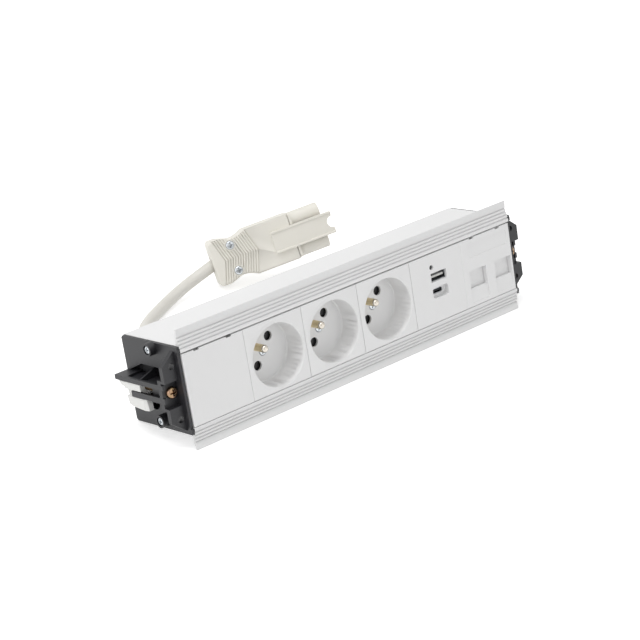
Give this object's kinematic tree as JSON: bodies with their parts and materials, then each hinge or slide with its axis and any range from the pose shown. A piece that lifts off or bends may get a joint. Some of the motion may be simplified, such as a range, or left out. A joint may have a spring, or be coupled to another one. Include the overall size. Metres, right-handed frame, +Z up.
{
  "type": "in-desk power module",
  "caption": "Long white in-desk power module with earthed sockets, a USB charger, data ports, clamping end brackets and a short cord with an installation connector.",
  "frame": {"origin": "centre of the footprint on the floor, measured without the cord, its relief and the connector", "axes": "+X along the module from the blank plate to the data ports, +Z up, the socket face looks towards -Y and a little up, because the module lies back on its rear edge"},
  "size_m": [0.294, 0.1854, 0.0728],
  "materials": {
    "white_aluminium": "white powder coat",
    "black_plastic": "moulded",
    "zinc_steel": "zinc plated",
    "yellow_zinc": "yellow zinc plated",
    "white_claw_plastic": "moulded",
    "white_plastic": "moulded",
    "shutter_plastic": "moulded",
    "inner_plastic": "moulded",
    "brass": "plated",
    "gold_contacts": "gilt",
    "circuit_board": "coated",
    "component_body": "moulded",
    "tongue_plastic": "moulded",
    "indicator_lens": "clear dark",
    "wire_insulation": "extruded",
    "cord_sheath": "extruded",
    "connector_plastic": "moulded"
  },
  "bodies": {
    "module": {"blank_plate": "white_plastic", "cap_screws_left": "zinc_steel", "cap_screws_right": "zinc_steel", "connector_contacts": "brass", "connector_front_shell": "connector_plastic", "connector_guide": "connector_plastic", "connector_nose": "connector_plastic", "connector_rear_shell": "connector_plastic", "connector_screws": "zinc_steel", "cord": "cord_sheath", "cord_relief": "cord_sheath", "data_contacts_left": "gold_contacts", "data_contacts_right": "gold_contacts", "data_jack_left": "inner_plastic", "data_jack_right": "inner_plastic", "data_plate": "white_plastic", "end_cap_left": "black_plastic", "end_cap_right": "black_plastic", "profile": "white_aluminium", "socket_1_base": "inner_plastic", "socket_1_contacts": "brass", "socket_1_earth_pin": "brass", "socket_1_face": "white_plastic", "socket_1_rear_cover": "inner_plastic", "socket_1_screw": "zinc_steel", "socket_2_base": "inner_plastic", "socket_2_contacts": "brass", "socket_2_earth_pin": "brass", "socket_2_face": "white_plastic", "socket_2_rear_cover": "inner_plastic", "socket_2_screw": "zinc_steel", "socket_3_base": "inner_plastic", "socket_3_contacts": "brass", "socket_3_earth_pin": "brass", "socket_3_face": "white_plastic", "socket_3_rear_cover": "inner_plastic", "socket_3_screw": "zinc_steel", "supply_wires": "wire_insulation", "terminal_block": "inner_plastic", "usb_a_shell": "zinc_steel", "usb_a_tongue": "tongue_plastic", "usb_board": "circuit_board", "usb_c_shell": "zinc_steel", "usb_c_tongue": "tongue_plastic", "usb_indicator": "indicator_lens", "usb_parts": "component_body", "usb_plate": "white_plastic", "usb_rear_cover": "inner_plastic"},
    "clamp_claw_left_body": {"clamp_claw_left": "white_claw_plastic"},
    "clamp_claw_right_body": {"clamp_claw_right": "white_claw_plastic"},
    "clamp_screw_left_body": {"clamp_screw_left": "yellow_zinc"},
    "clamp_screw_right_body": {"clamp_screw_right": "yellow_zinc"},
    "data_shutter_left_body": {"data_shutter_left": "white_plastic"},
    "data_shutter_right_body": {"data_shutter_right": "white_plastic"},
    "socket_1_shutter_body": {"socket_1_shutter": "shutter_plastic"},
    "socket_2_shutter_body": {"socket_2_shutter": "shutter_plastic"},
    "socket_3_shutter_body": {"socket_3_shutter": "shutter_plastic"}
  },
  "joints": [
    {"name": "clamp_screw_left_turn", "type": "hinge", "parent": "module", "child": "clamp_screw_left_body", "pos_m": [-0.141, -0.00629, 0.03258], "axis": [0, 0.9836, -0.1802], "range_deg": [-772.4, 4115.3]},
    {"name": "clamp_claw_left_slide", "type": "slide", "parent": "module", "child": "clamp_claw_left_body", "axis": [0, -0.9836, 0.1802], "range_m": [-0.0015, 0.008]},
    {"name": "clamp_screw_right_turn", "type": "hinge", "parent": "module", "child": "clamp_screw_right_body", "pos_m": [0.141, -0.00629, 0.03258], "axis": [0, 0.9836, -0.1802], "range_deg": [-772.4, 4115.3]},
    {"name": "clamp_claw_right_slide", "type": "slide", "parent": "module", "child": "clamp_claw_right_body", "axis": [0, -0.9836, 0.1802], "range_m": [-0.0015, 0.008]},
    {"name": "socket_1_shutter_slide", "type": "slide", "parent": "module", "child": "socket_1_shutter_body", "axis": [0.8161, -0.1041, -0.5684], "range_m": [0, 0.0066], "stiffness_N_per_m": 200, "springref_m": -0.004},
    {"name": "socket_2_shutter_slide", "type": "slide", "parent": "module", "child": "socket_2_shutter_body", "axis": [0.8161, -0.1041, -0.5684], "range_m": [0, 0.0066], "stiffness_N_per_m": 200, "springref_m": -0.004},
    {"name": "socket_3_shutter_slide", "type": "slide", "parent": "module", "child": "socket_3_shutter_body", "axis": [0.8161, -0.1041, -0.5684], "range_m": [0, 0.0066], "stiffness_N_per_m": 200, "springref_m": -0.004},
    {"name": "data_shutter_left_slide", "type": "slide", "parent": "module", "child": "data_shutter_left_body", "axis": [0, 0.1802, 0.9836], "range_m": [0, 0.0116], "stiffness_N_per_m": 60, "springref_m": -0.006},
    {"name": "data_shutter_right_slide", "type": "slide", "parent": "module", "child": "data_shutter_right_body", "axis": [0, 0.1802, 0.9836], "range_m": [0, 0.0116], "stiffness_N_per_m": 60, "springref_m": -0.006}
  ],
  "couplings": [
    {"joint": "clamp_screw_left_turn", "follows": "clamp_claw_left_slide", "rad_per_m": 8976},
    {"joint": "clamp_screw_right_turn", "follows": "clamp_claw_right_slide", "rad_per_m": 8976}
  ]
}
